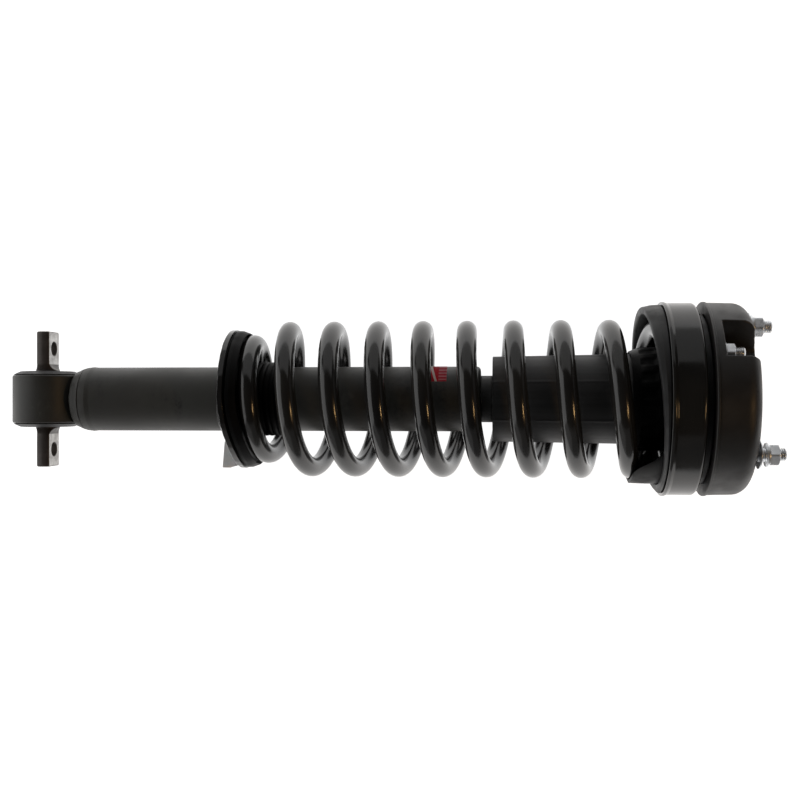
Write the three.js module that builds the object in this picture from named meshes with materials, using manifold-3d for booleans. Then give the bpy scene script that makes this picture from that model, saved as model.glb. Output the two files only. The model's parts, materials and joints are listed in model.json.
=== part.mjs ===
// A coil-over suspension strut, ready to fit: three-stud upper mount, coil spring between two seats,
// telescopic damper, and a rubber-bushed bar pin at the lower end.
//
// Frame, in millimetres: +X runs along the strut from the bar pin to the mount studs, +Y along the
// bar pin, +Z out of the side on which the strut is looked at. The origin is on the strut's axis, in
// the plane of the mount's seating face. Angles about the axis are measured from +Y towards +Z.

import * as THREE from 'three';
import { mergeVertices } from 'three/addons/utils/BufferGeometryUtils.js';
import Module from 'manifold-3d';

// ---------------------------------------------------------------- driving dimensions

const GAP = 0.3; // between pieces that touch

// lower end
const PIN_X = -555.6; // axis of the bar pin
const PIN_LENGTH = 109.2;
const PIN_RADIUS = 9.3;
const PAD_RADIUS = 11.3; // of the pin's ends, which are pressed wide and flat
const PIN_FLAT = 5.2; // half the thickness across the flats
const PIN_FLAT_START = 29; // where the flats reach full depth, from the middle
const PIN_HOLE_Y = 40.8;
const PIN_HOLE_RADIUS = 5.5;
const EYE_RADIUS = 27.4;
const EYE_WALL = 4;
const EYE_WIDTH = 38.6;
const BUSH_WIDTH = 44.8;

// damper
const TUBE_RADIUS = 25.5;
const TUBE_WALL = 2;
const TUBE_BOTTOM = -521.5;
const TUBE_TOP = -203.7;
const CRIMP_RADIUS = 18.9; // opening left by the rolled-over top of the tube
const PRESSURE_RADIUS = 17.5;
const PRESSURE_WALL = 1.5;
const PRESSURE_BOTTOM = -497;
const ROD_RADIUS = 10;
const ROD_SPIGOT_RADIUS = 7;
const ROD_SHOULDER = -48.5; // the rod steps down here to pass through the mount
const ROD_TIP = -0.8;
const ROD_FOOT = -266; // the piston spigot begins here
const PISTON_SPIGOT_RADIUS = 5.7;
const GUIDE_BOTTOM = -232;

// spring and its seats
const WIRE_RADIUS = 7.05;
const COIL_RADIUS = 53.85; // centre of the wire in the body of the spring
const END_COIL_RADIUS = 44; // centre of the wire where the spring sits in the lower seat
const SPRING_PITCH = 35.93;
const SPRING_BOTTOM_ANGLE = -100; // degrees
const SPRING_TOP_ANGLE = 3528;
const CLOSING_ANGLE = 350; // each end closes over this much of a turn
const CLOSED_SHARE = 0.15; // of the pitch, left at the very end
const BOW = 3.5; // the middle of the spring sags this far towards the bar pin
const NEAR_LEAN = 4.9; // each turn leans towards the bar pin on its +Z side by this much
const FRONT_LEAN = 1; // and away from it on its +Y side
const LOWER_REST = -393.5; // face that the spring's lower end rests on
const UPPER_REST = -46.5; // face that its upper end rests on
const SEAT_RADIUS = 55;
const SEAT_TOP = -397.2; // rim of the lower pan
const SEAT_RAMP = 7.5; // how far the lower seat climbs under the spring's first turn
const HUB_RADIUS = 27.4;
const SLEEVE_RADIUS = 29.2; // rubber sleeve up the hub
const DUST_RADIUS = 33.35;
const DUST_TOP_RADIUS = 34.8;
const DUST_BOTTOM = -194.5;

// upper seat and mount
const CUP_RADIUS = 74;
const CUP_WALL = 2.5;
const CUP_LIP = -66.5;
const CUP_TOP = -41.5;
const ISOLATOR_LIP = -77.5;
const ISOLATOR_RADIUS = 69;
const LIP_TILT = [-0.05, 0.04]; // of the isolator's lip, along Y and Z
const FLANGE_BOTTOM = -35.6; // underside of the mount housing
const FLANGE_TOP = -29.2;
const FLANGE_RADIUS = 74.6;
const CROWN_RADIUS = 73.9;
const CROWN_CORNER = 11.5;
const CROWN_FALL = 2.5; // of the crown's face, from its flat middle to the corner
const SPOT_FACE = -3.6; // recessed round each stud
const SPOT_RADIUS = 11.2;
const BOLT_CIRCLE = 56.6; // radius
const STUD_ANGLES = [16.3, 136.3, 256.3];
const STUD_RADIUS = 5;
const STUD_TIPS = [14.5, 19.4, 14.5];
const NUT_FACES = [7.6, 13.9, 7.6]; // outer face of each nut
const NUT_HEIGHT = 9.3;
const WASHER_FACES = [SPOT_FACE + GAP, -0.4, SPOT_FACE + GAP]; // inner face of each washer
const WASHER_THICKNESS = 1.3;
const POCKET_ANGLES = [52, 232];
const POCKET_HALF_ANGLE = 13;
const POCKET_FLOOR = -27.7;
const CLAMP_ANGLES = [53.5, 233.5];
const CLAMP_RADIUS = 4;

// facets round a turned piece
const WIDE = 32;
const MEDIUM = 24;
const NARROW = 16;

// ---------------------------------------------------------------- solids

const wasm = await Module();
wasm.setup();

const degrees = THREE.MathUtils.degToRad;

function cleaned(geometry) {
  // one closed skin: shared corners, no collapsed triangles, faces pointing out
  const flat = geometry.clone();
  for (const name of ['normal', 'uv']) flat.deleteAttribute(name);
  const merged = mergeVertices(flat, 1e-4);
  const at = merged.attributes.position;
  const index = [];
  let volume = 0;
  const [a, b, c] = [new THREE.Vector3(), new THREE.Vector3(), new THREE.Vector3()];
  for (let i = 0; i < merged.index.count; i += 3) {
    const corners = [0, 1, 2].map((k) => merged.index.getX(i + k));
    if (new Set(corners).size < 3) continue;
    index.push(...corners);
    [a, b, c].forEach((corner, k) => corner.fromBufferAttribute(at, corners[k]));
    volume += a.dot(b.cross(c));
  }
  if (volume < 0) index.reverse();
  merged.setIndex(index);
  return merged;
}

function solid(geometry) {
  const skin = cleaned(geometry);
  const mesh = new wasm.Mesh({
    numProp: 3,
    vertProperties: new Float32Array(skin.attributes.position.array),
    triVerts: new Uint32Array(skin.index.array),
  });
  return new wasm.Manifold(mesh);
}

function skinOf(body) {
  const mesh = body.getMesh();
  const geometry = new THREE.BufferGeometry();
  geometry.setAttribute('position', new THREE.BufferAttribute(mesh.vertProperties, 3));
  geometry.setIndex(Array.from(mesh.triVerts));
  return geometry;
}

function cut(geometry, tools) {
  return skinOf(tools.reduce((body, tool) => body.subtract(solid(tool)), solid(geometry)));
}

function join(geometry, others) {
  return skinOf(others.reduce((body, other) => body.add(solid(other)), solid(geometry)));
}

function common(geometry, other) {
  return skinOf(solid(geometry).intersect(solid(other)));
}

// a profile of [station, radius] turned round the X axis
function turned(profile, facets) {
  const points = profile.map(([x, r]) => new THREE.Vector2(r, x));
  return cleaned(new THREE.LatheGeometry(points, facets).rotateZ(-Math.PI / 2));
}

function ring(x0, x1, inner, outer, facets) {
  const corners = [[x0, inner], [x0, outer], [x1, outer], [x1, inner], [x0, inner]];
  return turned(corners, facets);
}

function rod(x0, x1, radius, facets) {
  return turned([[x0, 0], [x0, radius], [x1, radius], [x1, 0]], facets);
}

// a turned piece moved off the strut's axis, to an angle on the bolt circle
function offAxis(geometry, angle) {
  const turn = degrees(angle);
  return geometry.translate(0, BOLT_CIRCLE * Math.cos(turn), BOLT_CIRCLE * Math.sin(turn));
}

// a turned piece laid along the bar pin
function alongPin(geometry) {
  return geometry.rotateZ(Math.PI / 2).translate(PIN_X, 0, 0);
}

// an outline in the YZ plane, extruded along X
function prism(shape, x0, x1, curveSegments = 6) {
  const settings = { depth: x1 - x0, bevelEnabled: false, curveSegments };
  return new THREE.ExtrudeGeometry(shape, settings).rotateX(Math.PI / 2).rotateZ(Math.PI / 2)
    .translate(x0, 0, 0);
}

function hexagon(acrossFlats, hole) {
  const corner = acrossFlats / 2 / Math.cos(Math.PI / 6);
  const shape = new THREE.Shape();
  for (let side = 0; side < 6; side += 1) {
    const turn = side * Math.PI / 3;
    shape[side ? 'lineTo' : 'moveTo'](corner * Math.cos(turn), corner * Math.sin(turn));
  }
  shape.closePath();
  shape.holes.push(new THREE.Path().absarc(0, 0, hole, 0, 2 * Math.PI));
  return shape;
}

function arc(x, r, radius, from, to, steps) {
  // points of a round corner, as [station, radius], at angles from the X direction
  return Array.from({ length: steps + 1 }, (_, i) => {
    const turn = degrees(from + (to - from) * i / steps);
    return [x + radius * Math.cos(turn), r + radius * Math.sin(turn)];
  });
}

// ---------------------------------------------------------------- materials

const finish = (color, roughness, metalness) => ({ color, roughness, metalness });
const POWDER_COAT = finish(0x161614, 0.32, 0.1);
const TUBE_PAINT = finish(0x2c2b27, 0.45, 0.2);
const CAST_PAINT = finish(0x1b1a19, 0.7, 0.1);
const RUBBER = finish(0x141414, 0.75, 0);
const PLASTIC = finish(0x1a1a1b, 0.4, 0);
const ZINC = finish(0xc3c5c6, 0.35, 0.9);
const BRIGHT_STEEL = finish(0xa8a9aa, 0.3, 1);
const CHROME = finish(0xd8dadb, 0.08, 1);
const BRONZE = finish(0x9a7445, 0.4, 0.8);
const FOAM = finish(0x2a2a26, 0.9, 0);

const strut = new THREE.Group();

function add(name, geometry, look) {
  const mesh = new THREE.Mesh(cleaned(geometry), new THREE.MeshStandardMaterial(look));
  mesh.name = name;
  strut.add(mesh);
}

// ---------------------------------------------------------------- lower eye and bar pin

function eyeRing() {
  const half = EYE_WIDTH / 2;
  const inner = EYE_RADIUS - EYE_WALL;
  return alongPin(turned([
    [-half, inner], [-half, EYE_RADIUS - 1], [-half + 1, EYE_RADIUS],
    [half - 1, EYE_RADIUS], [half, EYE_RADIUS - 1], [half, inner], [-half, inner],
  ], WIDE));
}

// rubber fills the eye and folds over both of its ends
function eyeBush() {
  const bore = PIN_RADIUS + GAP;
  const outer = EYE_RADIUS - EYE_WALL - GAP;
  const side = EYE_WIDTH / 2 + GAP;
  const end = BUSH_WIDTH / 2;
  const half = [[end, bore], [end, outer], [end - 1.1, outer + 2.4], [side, outer + 3], [side, outer]];
  const mirrored = half.map(([x, r]) => [-x, r]).reverse();
  return alongPin(turned([...half, ...mirrored, half[0]], MEDIUM));
}

// a cutter for one flat: it runs out towards the eye in a quarter circle
function flatCutter(sideX, sideY) {
  const depth = PAD_RADIUS - PIN_FLAT;
  const shape = new THREE.Shape();
  shape.moveTo(0, PIN_LENGTH);
  shape.lineTo(0, PIN_FLAT_START);
  shape.absarc(depth, PIN_FLAT_START, depth, Math.PI, 1.5 * Math.PI, false);
  shape.lineTo(2 * depth, PIN_FLAT_START - depth);
  shape.lineTo(2 * depth, PIN_LENGTH);
  shape.closePath();
  const settings = { depth: 4 * PAD_RADIUS, bevelEnabled: false, curveSegments: 5 };
  return new THREE.ExtrudeGeometry(shape, settings).translate(PIN_FLAT, 0, -2 * PAD_RADIUS)
    .scale(sideX, sideY, 1).translate(PIN_X, 0, 0);
}

function barPin() {
  const end = PIN_LENGTH / 2;
  const neck = PIN_FLAT_START - 6;
  const bar = alongPin(turned([
    [-end, 0], [-end, PAD_RADIUS - 1], [-end + 1, PAD_RADIUS], [-PIN_FLAT_START, PAD_RADIUS],
    [-neck, PIN_RADIUS], [neck, PIN_RADIUS],
    [PIN_FLAT_START, PAD_RADIUS], [end - 1, PAD_RADIUS], [end, PAD_RADIUS - 1], [end, 0],
  ], MEDIUM));
  const tools = [];
  for (const sideY of [-1, 1]) {
    for (const sideX of [-1, 1]) tools.push(flatCutter(sideX, sideY));
    const bore = rod(PIN_X - PAD_RADIUS, PIN_X + PAD_RADIUS, PIN_HOLE_RADIUS, NARROW);
    tools.push(bore.translate(0, sideY * PIN_HOLE_Y, 0));
  }
  return cut(bar, tools);
}

add('eye_ring', eyeRing(), TUBE_PAINT);
add('eye_bush', eyeBush(), RUBBER);
add('bar_pin', barPin(), BRIGHT_STEEL);

// ---------------------------------------------------------------- damper body

const tubeInner = TUBE_RADIUS - TUBE_WALL;

function reservoirTube() {
  const roll = 3.5;
  return turned([
    [TUBE_BOTTOM, tubeInner], [TUBE_BOTTOM, TUBE_RADIUS],
    ...arc(TUBE_TOP - roll, TUBE_RADIUS - roll, roll, 90, 0, 3),
    [TUBE_TOP, CRIMP_RADIUS], [TUBE_TOP - TUBE_WALL, CRIMP_RADIUS],
    [TUBE_TOP - TUBE_WALL, TUBE_RADIUS - roll], [TUBE_TOP - roll, tubeInner],
    [TUBE_BOTTOM, tubeInner],
  ], MEDIUM);
}

// a domed plug in the end of the tube, saddled to the eye
function baseCap() {
  const plug = tubeInner - GAP;
  const cap = turned([
    [-540, 0], [-540, 17], [-531, 20.5], [-526, 24], [TUBE_BOTTOM - GAP, TUBE_RADIUS],
    [TUBE_BOTTOM - GAP, plug], [-514, plug], [-512, plug - 2], [-512, 0],
  ], MEDIUM);
  const saddle = alongPin(rod(-EYE_RADIUS, EYE_RADIUS, EYE_RADIUS + GAP, WIDE));
  return cut(cap, [saddle]);
}

function baseValve() {
  return turned([
    [-511.7, 0], [-511.7, 12], [-507, 16], [-507, 21], [PRESSURE_BOTTOM - GAP, 21],
    [PRESSURE_BOTTOM - GAP, 15.6], [-489, 15.6], [-489, 4], [-485, 4], [-485, 0],
  ], MEDIUM);
}

// the guide carries the rod in a bronze-backed bush, with the oil seal in its upper recess
const sealBottom = TUBE_TOP - TUBE_WALL - GAP - 7;
const guideTop = TUBE_TOP - TUBE_WALL - GAP;

function rodGuide() {
  const neck = PRESSURE_RADIUS - PRESSURE_WALL - GAP;
  return turned([
    [GUIDE_BOTTOM, 12], [GUIDE_BOTTOM, neck], [-225.7, neck], [-225.7, 19], [-222, tubeInner - GAP],
    [guideTop - 3.2, tubeInner - GAP], [guideTop, 20], [guideTop, 18.3],
    [sealBottom - GAP, 18.3], [sealBottom - GAP, 12], [GUIDE_BOTTOM, 12],
  ], MEDIUM);
}

function bumpCap() {
  const bottom = TUBE_TOP + GAP;
  return turned([
    [bottom, 15.3], [bottom, 18.3], [-188, 18.3], [-186, 16.3], [-186, 10.9],
    [-188.5, 10.9], [-188.5, 15.3], [bottom, 15.3],
  ], MEDIUM);
}

const pressureTop = -225.7 - GAP;
add('reservoir_tube', reservoirTube(), TUBE_PAINT);
add('base_cap', baseCap(), TUBE_PAINT);
add('pressure_tube', ring(PRESSURE_BOTTOM, pressureTop, PRESSURE_RADIUS - PRESSURE_WALL,
  PRESSURE_RADIUS, MEDIUM), BRIGHT_STEEL);
add('base_valve', baseValve(), BRIGHT_STEEL);
add('base_valve_disc', ring(-488.7, -487.5, 4.4, 12, NARROW), BRIGHT_STEEL);
add('rod_guide', rodGuide(), BRIGHT_STEEL);
add('rod_guide_bush', ring(GUIDE_BOTTOM, -216, 10.3, 11.6, MEDIUM), BRONZE);
add('oil_seal', ring(sealBottom, guideTop, 10.3, 17.9, MEDIUM), RUBBER);
add('bump_cap', bumpCap(), PLASTIC);

// ---------------------------------------------------------------- lower spring seat

// The lower seat lies flat under the spring's end, climbs with its first turn and drops back.
function ramped(geometry) {
  const { clamp, euclideanModulo, radToDeg, smoothstep } = THREE.MathUtils;
  const at = geometry.attributes.position;
  for (let i = 0; i < at.count; i += 1) {
    const [x, y, z] = [at.getX(i), at.getY(i), at.getZ(i)];
    const angle = euclideanModulo(radToDeg(Math.atan2(z, y)), 360);
    const climb = smoothstep(angle, 85, 160) * (1 - smoothstep(angle, 200, 250));
    const reach = clamp((Math.hypot(y, z) - 36) / 10, 0, 1);
    at.setX(i, x + SEAT_RAMP * climb * reach);
  }
  return geometry;
}

// a shallow pressed pan, welded to a hub that is welded to the tube
function lowerSeat() {
  const bore = HUB_RADIUS + GAP;
  return ramped(turned([
    [SEAT_TOP - 9.5, bore], [SEAT_TOP - 6, 44], [SEAT_TOP - 4.8, 53], [SEAT_TOP - 3.8, SEAT_RADIUS],
    [SEAT_TOP, SEAT_RADIUS], [SEAT_TOP, SEAT_RADIUS - 0.9], [SEAT_TOP - 1.4, 52.5],
    [SEAT_TOP - 2.9, 44], [SEAT_TOP - 6.7, bore], [SEAT_TOP - 9.5, bore],
  ], WIDE));
}

// a small gusset under the pan
function seatTab() {
  const shape = new THREE.Shape();
  shape.moveTo(-408.5, -33.7);
  shape.lineTo(SEAT_TOP - 6.5, -33.7);
  shape.lineTo(SEAT_TOP - 0.5, -44);
  shape.lineTo(SEAT_TOP + 2, -52.6);
  shape.lineTo(SEAT_TOP - 1.8, -53.6);
  shape.lineTo(SEAT_TOP - 6.8, -55);
  shape.lineTo(-410.2, -55);
  shape.closePath();
  return new THREE.ExtrudeGeometry(shape, { depth: 3, bevelEnabled: false }).translate(0, 0, -1.5);
}

function lowerIsolator() {
  const bore = HUB_RADIUS + 0.4;
  const rim = SEAT_RADIUS - 0.6;
  return ramped(turned([
    [SEAT_TOP - 6, bore], [SEAT_TOP - 2.1, 44], [SEAT_TOP - 0.9, 52.5], [SEAT_TOP + 0.4, rim],
    [-392.3, rim - 0.4], [-387.5, 52.4], [-387.5, 51.6], [LOWER_REST, 51.6], [LOWER_REST, 36],
    [-390, 31], [-386, SLEEVE_RADIUS], [-354, SLEEVE_RADIUS], [-354, bore], [SEAT_TOP - 6, bore],
  ], WIDE));
}

add('seat_hub', ring(-408, -372, TUBE_RADIUS + GAP, HUB_RADIUS, MEDIUM), POWDER_COAT);
add('lower_spring_seat', lowerSeat(), POWDER_COAT);
add('seat_tab', seatTab(), ZINC);
add('lower_spring_isolator', lowerIsolator(), RUBBER);

// ---------------------------------------------------------------- coil spring

// The wire climbs at a constant pitch and closes smoothly at both ends. Its lowest turn is smaller.
class SpringWire extends THREE.Curve {
  constructor() {
    super();
    this.arcLengthDivisions = 2400;
  }

  // climb, in pitches, over the first part of a closing end
  static closing(angle) {
    const share = THREE.MathUtils.clamp(angle / CLOSING_ANGLE, 0, 1);
    const eased = share ** 3 - share ** 4 / 2;
    const beyond = Math.max(angle - CLOSING_ANGLE, 0);
    return (CLOSING_ANGLE * (CLOSED_SHARE * share + (1 - CLOSED_SHARE) * eased) + beyond) / 360;
  }

  // a wound spring is never quite true: it bows in the middle and its turns lean
  static unevenness(angle) {
    const { clamp, smoothstep } = THREE.MathUtils;
    const bow = BOW * Math.sin(Math.PI * clamp((angle - 600) / 2700, 0, 1));
    const free = smoothstep(angle, 0, 800) * (1 - smoothstep(angle, 2700, 3400));
    const rise = clamp((angle - 900) / 900, -1, 1);
    const turn = degrees(angle);
    return free * (FRONT_LEAN * rise * Math.cos(turn) - NEAR_LEAN * Math.sin(turn)) - bow;
  }

  getPoint(t, target = new THREE.Vector3()) {
    const angle = THREE.MathUtils.lerp(SPRING_BOTTOM_ANGLE, SPRING_TOP_ANGLE, t);
    const middle = (SPRING_BOTTOM_ANGLE + SPRING_TOP_ANGLE) / 2;
    const bottom = LOWER_REST + GAP + WIRE_RADIUS;
    const top = UPPER_REST - GAP - WIRE_RADIUS;
    const x = angle < middle
      ? bottom + SPRING_PITCH * SpringWire.closing(angle - SPRING_BOTTOM_ANGLE)
      : top - SPRING_PITCH * SpringWire.closing(SPRING_TOP_ANGLE - angle);
    const growth = THREE.MathUtils.smoothstep(angle, 60, 440);
    const radius = THREE.MathUtils.lerp(END_COIL_RADIUS, COIL_RADIUS, growth);
    const turn = degrees(angle);
    return target.set(
      x + SpringWire.unevenness(angle),
      radius * Math.cos(turn),
      radius * Math.sin(turn),
    );
  }
}

function coilSpring() {
  const section = new THREE.Shape();
  const sides = 8;
  for (let side = 0; side < sides; side += 1) {
    const turn = 2 * Math.PI * side / sides;
    section[side ? 'lineTo' : 'moveTo'](WIRE_RADIUS * Math.cos(turn), WIRE_RADIUS * Math.sin(turn));
  }
  section.closePath();
  const settings = { steps: 160, bevelEnabled: false, extrudePath: new SpringWire() };
  return new THREE.ExtrudeGeometry(section, settings);
}

add('coil_spring', coilSpring(), POWDER_COAT);

// ---------------------------------------------------------------- rod and piston

function pistonRod() {
  return turned([
    [-296, 0], [-296, PISTON_SPIGOT_RADIUS], [ROD_FOOT, PISTON_SPIGOT_RADIUS],
    [ROD_FOOT, ROD_RADIUS], [ROD_SHOULDER, ROD_RADIUS], [ROD_SHOULDER, ROD_SPIGOT_RADIUS],
    [ROD_TIP - 1, ROD_SPIGOT_RADIUS], [ROD_TIP, ROD_SPIGOT_RADIUS - 1], [ROD_TIP, 0],
  ], MEDIUM);
}

const pistonBore = PISTON_SPIGOT_RADIUS + GAP;

function piston() {
  return turned([
    [-283, pistonBore], [-283, 15.4], [-279.5, 15.4], [-279.5, 14.3], [-273.5, 14.3],
    [-273.5, 15.4], [-271, 15.4], [-271, pistonBore], [-283, pistonBore],
  ], MEDIUM);
}

add('piston_rod', pistonRod(), CHROME);
add('rebound_stop', ring(-246, -242, ROD_RADIUS + GAP, 14.5, MEDIUM), BRIGHT_STEEL);
add('rebound_bumper', ring(-241.7, GUIDE_BOTTOM - GAP, ROD_RADIUS + 0.5, 14.8, MEDIUM), RUBBER);
add('compression_disc', ring(-270.7, -268.5, pistonBore, 12.5, NARROW), BRIGHT_STEEL);
add('piston', piston(), BRIGHT_STEEL);
add('piston_band', ring(-279.2, -273.8, 14.6, 15.7, MEDIUM), BRONZE);
add('rebound_disc', ring(-285.5, -283.3, pistonBore, 12.5, NARROW), BRIGHT_STEEL);
add('piston_nut', prism(hexagon(17, pistonBore), -294, -285.8), BRIGHT_STEEL);

// ---------------------------------------------------------------- bump stop and dust tube

const spigotBore = ROD_SPIGOT_RADIUS + GAP;

function bumperCup() {
  const plateTop = ROD_SHOULDER + GAP + 2.5;
  const plateBottom = ROD_SHOULDER + GAP;
  return turned([
    [plateTop, spigotBore], [plateTop, 23.5], [plateTop - 2, 25.5], [-64, 25.5], [-64, 23.5],
    [plateBottom, 23.5], [plateBottom, spigotBore], [plateTop, spigotBore],
  ], MEDIUM);
}

// foam, with two necks that let it fold evenly
function jounceBumper() {
  const bore = ROD_RADIUS + 0.6;
  const top = ROD_SHOULDER - GAP / 2;
  return turned([
    [top, bore], [top, 22], [-62, 22], [-65, 18], [-68, 21], [-74, 20], [-77, 16.5], [-80, 18.5],
    [-87, 17.5], [-91, 14.5], [-91, bore], [top, bore],
  ], NARROW);
}

function dustTube() {
  const wall = 1.8;
  return turned([
    [DUST_BOTTOM, DUST_RADIUS - wall], [DUST_BOTTOM, DUST_RADIUS], [-100, DUST_TOP_RADIUS],
    [-46.2, DUST_TOP_RADIUS], [-46.2, 26.2], [-48, 26.2], [-48, DUST_TOP_RADIUS - wall],
    [-100, DUST_TOP_RADIUS - wall], [DUST_BOTTOM, DUST_RADIUS - wall],
  ], MEDIUM);
}

add('bumper_cup', bumperCup(), POWDER_COAT);
add('jounce_bumper', jounceBumper(), FOAM);
add('dust_tube', dustTube(), PLASTIC);

// ---------------------------------------------------------------- upper spring seat

const cupInner = CUP_RADIUS - CUP_WALL;

function upperSeat() {
  const corner = 4;
  const plateBottom = CUP_TOP - 3;
  return turned([
    [CUP_TOP, spigotBore], ...arc(CUP_TOP - corner, CUP_RADIUS - corner, corner, 0, 90, 3),
    [CUP_LIP + 2.5, CUP_RADIUS], [CUP_LIP + 1, CUP_RADIUS + 0.9], [CUP_LIP, CUP_RADIUS],
    [CUP_LIP, cupInner + 0.4], [CUP_LIP + 2.5, cupInner], [plateBottom - 2, cupInner],
    [plateBottom, cupInner - 2], [plateBottom, spigotBore], [CUP_TOP, spigotBore],
  ], WIDE);
}

// the rubber lip outside the cup does not sit square
function tilted(geometry) {
  const at = geometry.attributes.position;
  for (let i = 0; i < at.count; i += 1) {
    const [x, y, z] = [at.getX(i), at.getY(i), at.getZ(i)];
    const outside = x < CUP_LIP - 2 && Math.hypot(y, z) > 60;
    if (outside) at.setX(i, x + LIP_TILT[0] * y + LIP_TILT[1] * z);
  }
  return geometry;
}

// rubber between the spring and the cup: a collar inside the spring, a pad over its end, a lip
// outside it, and a tail that shields the last open turn
function upperIsolator() {
  const top = CUP_TOP - 3 - GAP;
  const collar = DUST_TOP_RADIUS + 0.6;
  const body = tilted(turned([
    [top, collar], [top, 69], [top - 2.4, 71.1], [CUP_LIP, 71.1], [CUP_LIP - 1.5, 69.4],
    [ISOLATOR_LIP, ISOLATOR_RADIUS], [ISOLATOR_LIP, 64.5], [UPPER_REST - 3, 64.5],
    [UPPER_REST, 62], [UPPER_REST, 41.5], [-50, 40.2], [-80, 39.8], [-90, 36.9], [-90, collar],
    [top, collar],
  ], WIDE));
  const skirt = ring(-89.3, -72, 61.9, 65.4, WIDE);
  const outline = new THREE.Shape();
  outline.moveTo(-70, -70);
  outline.lineTo(-90, -70);
  outline.lineTo(-89.3, -63);
  outline.lineTo(-83, -48);
  outline.lineTo(-70, -42);
  outline.closePath();
  const wedge = new THREE.ExtrudeGeometry(outline, { depth: 110, bevelEnabled: false })
    .translate(0, 0, -55);
  return join(body, [common(skirt, wedge)]);
}

add('upper_spring_seat', upperSeat(), POWDER_COAT);
add('upper_spring_isolator', upperIsolator(), RUBBER);

// ---------------------------------------------------------------- upper mount

function pocketCutter(angle) {
  const shape = new THREE.Shape();
  const [inner, outer] = [44, 90];
  const [from, to] = [angle - POCKET_HALF_ANGLE, angle + POCKET_HALF_ANGLE].map(degrees);
  shape.moveTo(inner * Math.cos(from), inner * Math.sin(from));
  shape.lineTo(outer * Math.cos(from), outer * Math.sin(from));
  shape.lineTo(outer * Math.cos(to), outer * Math.sin(to));
  shape.lineTo(inner * Math.cos(to), inner * Math.sin(to));
  shape.closePath();
  return prism(shape, POCKET_FLOOR, 10);
}

// a casting: a base flange and a crown with a stud through each of three spot faces, and two open
// pockets that leave the clamp nuts within reach of a spanner
function mountHousing() {
  const middle = CROWN_RADIUS - 0.6 - CROWN_CORNER;
  const corner = arc(-CROWN_FALL - CROWN_CORNER, middle, CROWN_CORNER, 90, 0, 4);
  const body = turned([
    [FLANGE_BOTTOM, 21], [FLANGE_BOTTOM, FLANGE_RADIUS], [FLANGE_TOP, FLANGE_RADIUS],
    [FLANGE_TOP + 0.6, CROWN_RADIUS], ...corner, [-0.6, 46], [0, 30], [0, 17], [-11, 17], [-11, 21],
    [FLANGE_BOTTOM, 21],
  ], WIDE);
  const tools = POCKET_ANGLES.map(pocketCutter);
  for (const angle of STUD_ANGLES) {
    tools.push(offAxis(rod(FLANGE_BOTTOM - 1, -8, 10, NARROW), angle));
    tools.push(offAxis(rod(-9, 1, STUD_RADIUS + GAP, NARROW), angle));
    tools.push(offAxis(rod(SPOT_FACE, 1, SPOT_RADIUS, MEDIUM), angle));
  }
  for (const angle of CLAMP_ANGLES) {
    tools.push(offAxis(rod(FLANGE_BOTTOM - 1, POCKET_FLOOR + 1, CLAMP_RADIUS + 0.5, NARROW), angle));
  }
  return cut(body, tools);
}

function loadRing() {
  const holes = CLAMP_ANGLES.map((angle) => (
    offAxis(rod(CUP_TOP, FLANGE_BOTTOM, CLAMP_RADIUS + 0.5, NARROW), angle)));
  return cut(ring(CUP_TOP + GAP, FLANGE_BOTTOM - GAP, 22, 66, WIDE), holes);
}

function mountStud(tip) {
  return turned([
    [-12.3, 0], [-12.3, 9], [-8.3, 9], [-8.3, STUD_RADIUS], [tip - 1, STUD_RADIUS],
    [tip, STUD_RADIUS - 1], [tip, 0],
  ], NARROW);
}

function flangeNut(x0, x1, acrossFlats, bore, flange) {
  const skirt = turned([
    [x0, bore], [x0, flange], [x0 + 2.2, flange], [x0 + 3, flange * 0.8], [x0 + 3, bore], [x0, bore],
  ], NARROW);
  return join(prism(hexagon(acrossFlats, bore), x0 + 0.5, x1), [skirt]);
}

add('mount_housing', mountHousing(), CAST_PAINT);
add('mount_load_ring', loadRing(), RUBBER);
add('mount_inner_sleeve', ring(CUP_TOP + GAP, -13, spigotBore, 11, MEDIUM), BRIGHT_STEEL);
add('mount_bush', ring(FLANGE_BOTTOM, -13.3, 11.3, 20.7, MEDIUM), RUBBER);
add('mount_washer', ring(-12.7, -10.2, spigotBore, 16, MEDIUM), ZINC);
add('rod_nut', prism(hexagon(22, spigotBore), -9.9, -2), ZINC);

STUD_ANGLES.forEach((angle, i) => {
  const bore = STUD_RADIUS + GAP;
  const washer = ring(WASHER_FACES[i], WASHER_FACES[i] + WASHER_THICKNESS, bore, 10.6, NARROW);
  const nut = flangeNut(NUT_FACES[i] - NUT_HEIGHT, NUT_FACES[i], 15, bore, 9);
  add(`mount_stud_${i + 1}`, offAxis(mountStud(STUD_TIPS[i]), angle), ZINC);
  add(`stud_washer_${i + 1}`, offAxis(washer, angle), ZINC);
  add(`stud_nut_${i + 1}`, offAxis(nut, angle), ZINC);
});

CLAMP_ANGLES.forEach((angle, i) => {
  const bore = CLAMP_RADIUS + GAP;
  const stud = rod(CUP_TOP + GAP, -11.2, CLAMP_RADIUS, NARROW);
  add(`clamp_stud_${i + 1}`, offAxis(stud, angle), ZINC);
  const nut = flangeNut(POCKET_FLOOR + GAP, -18.8, 13, bore, 8.4);
  add(`clamp_nut_${i + 1}`, offAxis(nut, angle), ZINC);
});

export default strut;
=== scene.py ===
import json
import math
import random

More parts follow.
